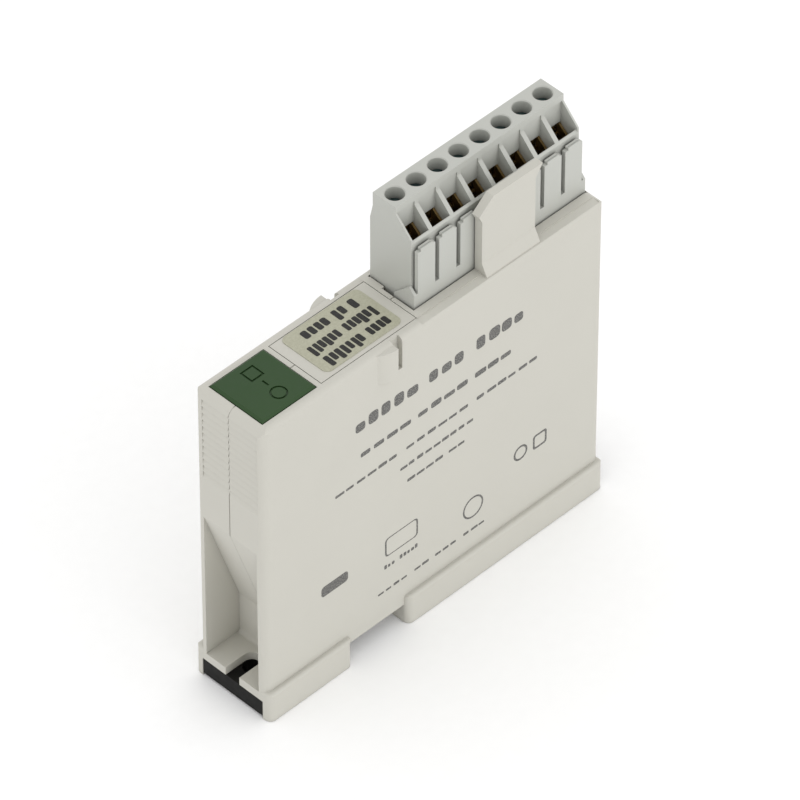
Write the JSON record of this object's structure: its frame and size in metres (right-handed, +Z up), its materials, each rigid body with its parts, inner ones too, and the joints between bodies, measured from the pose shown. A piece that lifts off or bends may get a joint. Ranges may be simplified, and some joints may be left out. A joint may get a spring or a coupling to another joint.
{
  "type": "plc module",
  "caption": "Slim rack-mounted input/output module with a light split case, label, screwed ends and a pull-off screw terminal plug.",
  "frame": {"origin": "middle of the footprint, at the bottom of the feet", "axes": "+X along the module towards the terminal end, +Y across its thickness, +Z up out of the rack"},
  "size_m": [0.0824, 0.0186, 0.0887],
  "materials": {
    "housing_plastic": "fine matt warm light grey",
    "base_plastic": "matt black",
    "cap_plastic": "matt deep green",
    "label_film": "matt cream film",
    "plug_plastic": "satin light grey",
    "board_laminate": "green solder mask",
    "chip_epoxy": "black moulded epoxy",
    "white_epoxy": "white moulded epoxy",
    "ceramic_tan": "sintered ceramic",
    "ferrite": "ground dark ferrite",
    "copper_wire": "enamelled copper winding",
    "capacitor_can": "drawn can",
    "gold_pin": "thin gold plating",
    "contact_brass": "bright brass",
    "zinc_steel": "zinc-plated"
  },
  "bodies": {
    "module": {"case_near": "housing_plastic", "case_far": "housing_plastic", "base_plate": "base_plastic", "type_cap": "cap_plastic", "label_carrier": "housing_plastic", "id_label": "label_film", "circuit_board": "board_laminate", "terminal_header": "plug_plastic", "header_pins": "gold_pin", "rack_header": "base_plastic", "rack_pins": "gold_pin", "transformer_core": "ferrite", "transformer_coil": "copper_wire", "converter_chip": "chip_epoxy", "controller_chip": "chip_epoxy", "optocouplers": "white_epoxy", "filter_capacitors": "capacitor_can", "ceramic_capacitors": "ceramic_tan", "resistors": "chip_epoxy", "power_module": "chip_epoxy", "surge_diodes": "chip_epoxy"},
    "plug": {"plug_housing": "plug_plastic", "plug_contacts": "contact_brass"},
    "screw_1": {"terminal_screw_1": "zinc_steel"},
    "cage_1": {"clamp_cage_1": "contact_brass"},
    "screw_2": {"terminal_screw_2": "zinc_steel"},
    "cage_2": {"clamp_cage_2": "contact_brass"},
    "screw_3": {"terminal_screw_3": "zinc_steel"},
    "cage_3": {"clamp_cage_3": "contact_brass"},
    "screw_4": {"terminal_screw_4": "zinc_steel"},
    "cage_4": {"clamp_cage_4": "contact_brass"},
    "screw_5": {"terminal_screw_5": "zinc_steel"},
    "cage_5": {"clamp_cage_5": "contact_brass"},
    "screw_6": {"terminal_screw_6": "zinc_steel"},
    "cage_6": {"clamp_cage_6": "contact_brass"},
    "screw_7": {"terminal_screw_7": "zinc_steel"},
    "cage_7": {"clamp_cage_7": "contact_brass"},
    "screw_8": {"terminal_screw_8": "zinc_steel"},
    "cage_8": {"clamp_cage_8": "contact_brass"}
  },
  "joints": [
    {"name": "plug_slide", "type": "slide", "parent": "module", "child": "plug", "axis": [0, 0, 1], "range_m": [0, 0.012]},
    {"name": "screw_1_turn", "type": "hinge", "parent": "plug", "child": "screw_1", "pos_m": [0.00146, 0.0032, 0.0855], "axis": [0, 0, -1], "range_deg": [0, 1300]},
    {"name": "cage_1_lift", "type": "slide", "parent": "plug", "child": "cage_1", "axis": [0, 0, 1], "range_m": [0, 0.0018]},
    {"name": "screw_2_turn", "type": "hinge", "parent": "plug", "child": "screw_2", "pos_m": [0.00654, 0.0032, 0.0855], "axis": [0, 0, -1], "range_deg": [0, 1300]},
    {"name": "cage_2_lift", "type": "slide", "parent": "plug", "child": "cage_2", "axis": [0, 0, 1], "range_m": [0, 0.0018]},
    {"name": "screw_3_turn", "type": "hinge", "parent": "plug", "child": "screw_3", "pos_m": [0.01162, 0.0032, 0.0855], "axis": [0, 0, -1], "range_deg": [0, 1300]},
    {"name": "cage_3_lift", "type": "slide", "parent": "plug", "child": "cage_3", "axis": [0, 0, 1], "range_m": [0, 0.0018]},
    {"name": "screw_4_turn", "type": "hinge", "parent": "plug", "child": "screw_4", "pos_m": [0.0167, 0.0032, 0.0855], "axis": [0, 0, -1], "range_deg": [0, 1300]},
    {"name": "cage_4_lift", "type": "slide", "parent": "plug", "child": "cage_4", "axis": [0, 0, 1], "range_m": [0, 0.0018]},
    {"name": "screw_5_turn", "type": "hinge", "parent": "plug", "child": "screw_5", "pos_m": [0.02178, 0.0032, 0.0855], "axis": [0, 0, -1], "range_deg": [0, 1300]},
    {"name": "cage_5_lift", "type": "slide", "parent": "plug", "child": "cage_5", "axis": [0, 0, 1], "range_m": [0, 0.0018]},
    {"name": "screw_6_turn", "type": "hinge", "parent": "plug", "child": "screw_6", "pos_m": [0.02686, 0.0032, 0.0855], "axis": [0, 0, -1], "range_deg": [0, 1300]},
    {"name": "cage_6_lift", "type": "slide", "parent": "plug", "child": "cage_6", "axis": [0, 0, 1], "range_m": [0, 0.0018]},
    {"name": "screw_7_turn", "type": "hinge", "parent": "plug", "child": "screw_7", "pos_m": [0.03194, 0.0032, 0.0855], "axis": [0, 0, -1], "range_deg": [0, 1300]},
    {"name": "cage_7_lift", "type": "slide", "parent": "plug", "child": "cage_7", "axis": [0, 0, 1], "range_m": [0, 0.0018]},
    {"name": "screw_8_turn", "type": "hinge", "parent": "plug", "child": "screw_8", "pos_m": [0.03702, 0.0032, 0.0855], "axis": [0, 0, -1], "range_deg": [0, 1300]},
    {"name": "cage_8_lift", "type": "slide", "parent": "plug", "child": "cage_8", "axis": [0, 0, 1], "range_m": [0, 0.0018]}
  ],
  "couplings": [
    {"joint": "screw_1_turn", "follows": "cage_1_lift", "rad_per_m": 12566},
    {"joint": "screw_2_turn", "follows": "cage_2_lift", "rad_per_m": 12566},
    {"joint": "screw_3_turn", "follows": "cage_3_lift", "rad_per_m": 12566},
    {"joint": "screw_4_turn", "follows": "cage_4_lift", "rad_per_m": 12566},
    {"joint": "screw_5_turn", "follows": "cage_5_lift", "rad_per_m": 12566},
    {"joint": "screw_6_turn", "follows": "cage_6_lift", "rad_per_m": 12566},
    {"joint": "screw_7_turn", "follows": "cage_7_lift", "rad_per_m": 12566},
    {"joint": "screw_8_turn", "follows": "cage_8_lift", "rad_per_m": 12566}
  ]
}
